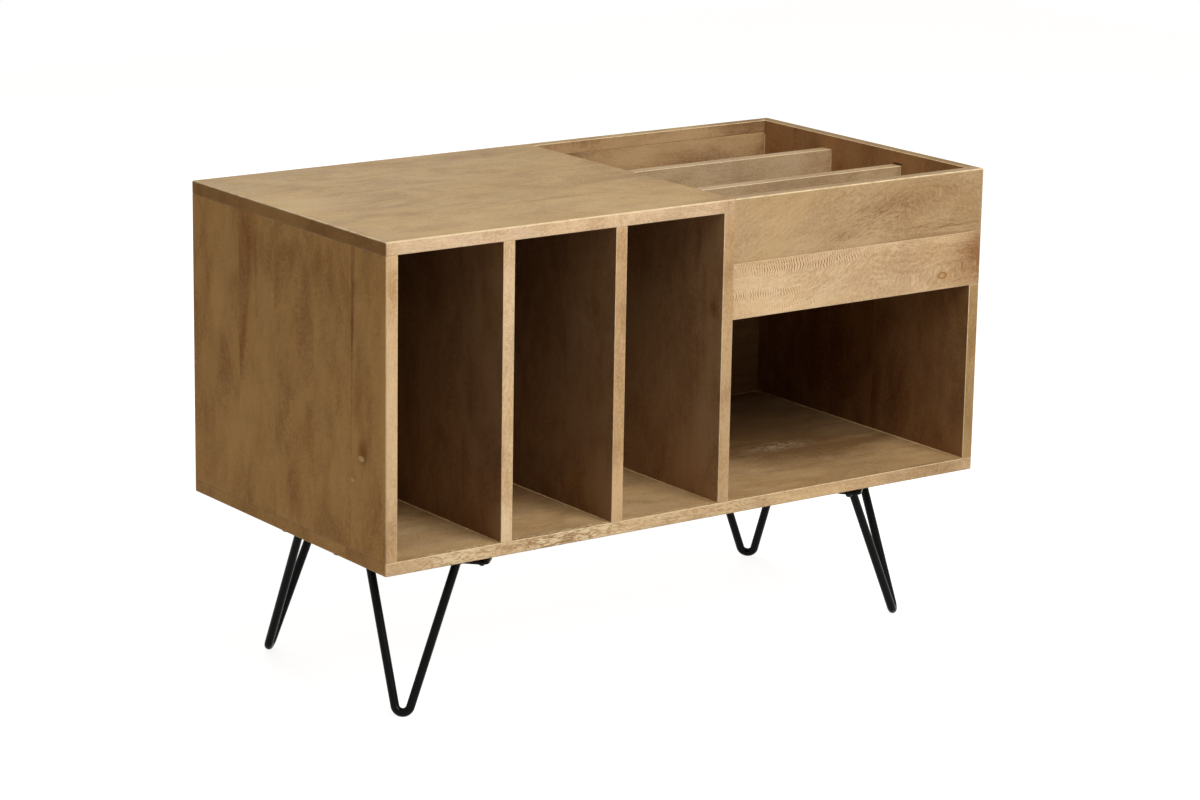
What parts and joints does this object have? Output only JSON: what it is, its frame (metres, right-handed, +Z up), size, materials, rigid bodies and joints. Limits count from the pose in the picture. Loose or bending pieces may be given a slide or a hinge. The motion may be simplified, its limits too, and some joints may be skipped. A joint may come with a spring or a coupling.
{
  "type": "record storage stand",
  "caption": "Low wooden record stand on hairpin legs: upright record slots on the left, an open-topped browsing bin over an open cubby on the right.",
  "frame": {"origin": "on the floor, under the middle of the carcass", "axes": "+X to the right seen from the front, +Y to the back, +Z up; the open front faces -Y"},
  "size_m": [1, 0.493, 0.664],
  "materials": {
    "stained_wood": "solid hardwood staves, mid-brown stain under a satin lacquer",
    "dowel_wood": "plain fluted beech dowel, glued, hidden inside the joints",
    "raw_wood": "bare sawn hardwood, unstained",
    "black_powder_coat": "satin black powder coat on steel",
    "black_screw": "black zinc-plated steel pan-head screw"
  },
  "bodies": {
    "root": {"top_panel": "stained_wood", "bottom_panel": "stained_wood", "left_side": "stained_wood", "right_side": "stained_wood", "middle_upright": "stained_wood", "slot_divider_left": "stained_wood", "slot_divider_right": "stained_wood", "back_panel": "stained_wood", "bin_back_rail": "stained_wood", "bin_floor": "stained_wood", "bin_front_upper_plank": "stained_wood", "bin_front_lower_plank": "stained_wood", "bin_divider_front": "stained_wood", "bin_divider_rear": "stained_wood", "dowels": "dowel_wood", "leg_screws": "black_screw", "leg_block_front_left": "raw_wood", "leg_block_front_right": "raw_wood", "leg_block_rear_left": "raw_wood", "leg_block_rear_right": "raw_wood", "leg_plate_front_left": "black_powder_coat", "leg_plate_front_right": "black_powder_coat", "leg_plate_rear_left": "black_powder_coat", "leg_plate_rear_right": "black_powder_coat", "leg_rod_front_left": "black_powder_coat", "leg_rod_front_right": "black_powder_coat", "leg_rod_rear_left": "black_powder_coat", "leg_rod_rear_right": "black_powder_coat"}
  },
  "joints": []
}
